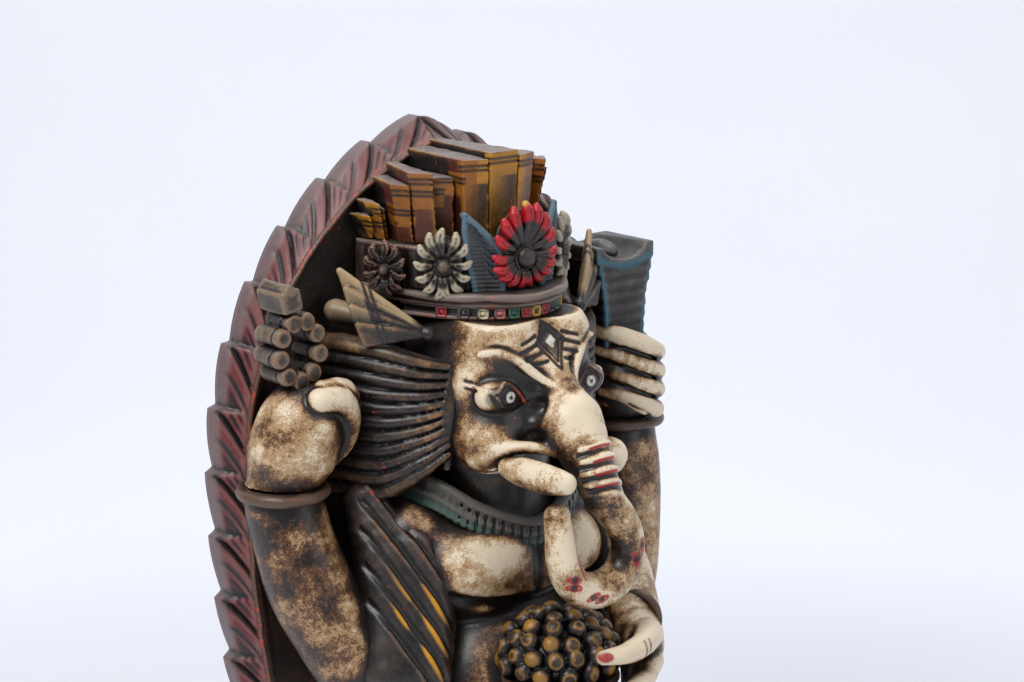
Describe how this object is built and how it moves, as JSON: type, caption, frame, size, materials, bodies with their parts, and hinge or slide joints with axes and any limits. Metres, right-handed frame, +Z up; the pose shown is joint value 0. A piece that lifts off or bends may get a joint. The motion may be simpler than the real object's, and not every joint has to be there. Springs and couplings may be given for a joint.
{
  "type": "carved wooden ganesha idol",
  "caption": "Seated elephant-headed idol in carved, painted wood, with a staved crown, ear and ribbon fans, rosary, axe and sweets, before a pointed leaf-edged back slab.",
  "frame": {"origin": "centre of the plinth's underside, where the idol stands", "axes": "+Z up along the idol's height, the figure faces -Y, the figure's own right is -X"},
  "size_m": [0.269, 0.1859, 0.4562],
  "materials": {
    "plinth_wood": "waxed dark hardwood, rubbed at the edges",
    "raw_pegs": "bare hardwood",
    "seat_wood": "dark stain under wax",
    "petal_paint": "worn red paint",
    "slab_patina": "near-black patina with specks of red undercoat",
    "leaf_red": "worn red paint, black in the veins, dusty on top",
    "worn_ivory": "ivory paint rubbed through to brown and black",
    "cloth_red": "worn red paint",
    "dark_patina": "near-black patina, waxed",
    "tusk_ivory": "ivory paint, lightly worn",
    "necklace_paint": "dark paint with worn green tips",
    "shawl_paint": "dark paint with worn yellow bands",
    "rosary_wood": "dark patina with ochre edges",
    "axe_paint": "dark paint with worn blue edges",
    "sweet_gold": "dark paint with worn gold rings",
    "leaf_green": "worn green paint",
    "crown_patina": "near-black patina, waxed",
    "stave_ochre": "worn yellow ochre over dark wood",
    "stone_paint": "small painted stones in mixed colours",
    "rosette_red": "worn red paint, dark centre",
    "rosette_silver": "worn silvery white paint",
    "rosette_copper": "worn coppery pink paint",
    "crown_leaf_blue": "dark paint with worn blue edges",
    "ribbon_paint": "cream paint with dark stripes, rubbed"
  },
  "bodies": {
    "root": {"plinth": "plinth_wood", "seat_pegs": "raw_pegs", "lotus_seat": "seat_wood", "seat_petals": "petal_paint", "back_slab": "slab_patina", "slab_moulding": "slab_patina", "leaf_border_right": "leaf_red", "leaf_border_left": "leaf_red", "slab_pins": "raw_pegs", "torso": "worn_ivory", "chest_pegs": "raw_pegs", "waist_cloth": "cloth_red", "right_leg": "worn_ivory", "left_leg": "worn_ivory", "right_anklet": "dark_patina", "left_anklet": "dark_patina", "head": "worn_ivory", "trunk": "worn_ivory", "right_tusk": "tusk_ivory", "left_tusk": "tusk_ivory", "right_ear": "dark_patina", "left_ear": "dark_patina", "necklace": "necklace_paint", "right_shawl": "shawl_paint", "left_shawl": "shawl_paint", "right_rear_arm": "worn_ivory", "left_rear_arm": "worn_ivory", "right_rear_hand": "worn_ivory", "left_rear_hand": "worn_ivory", "right_rear_bangle": "dark_patina", "left_rear_bangle": "dark_patina", "right_front_arm": "worn_ivory", "left_front_arm": "worn_ivory", "right_front_hand": "worn_ivory", "left_front_hand": "worn_ivory", "right_front_bangle": "dark_patina", "left_front_bangle": "dark_patina", "rosary": "rosary_wood", "axe_head": "axe_paint", "axe_handle": "axe_paint", "sweet_bowl": "dark_patina", "sweets": "sweet_gold", "radish": "worn_ivory", "radish_leaves": "leaf_green", "crown_drum": "crown_patina", "crown_centre_stave": "stave_ochre", "crown_right_staves": "stave_ochre", "crown_left_staves": "stave_ochre", "crown_rim": "crown_patina", "headband": "crown_patina", "headband_stones": "stone_paint", "front_rosette": "rosette_red", "right_rosette": "rosette_silver", "left_rosette": "rosette_silver", "right_rear_rosette": "rosette_copper", "left_rear_rosette": "rosette_copper", "crown_leaves": "crown_leaf_blue", "right_ribbon": "ribbon_paint", "left_ribbon": "ribbon_paint"}
  },
  "joints": []
}
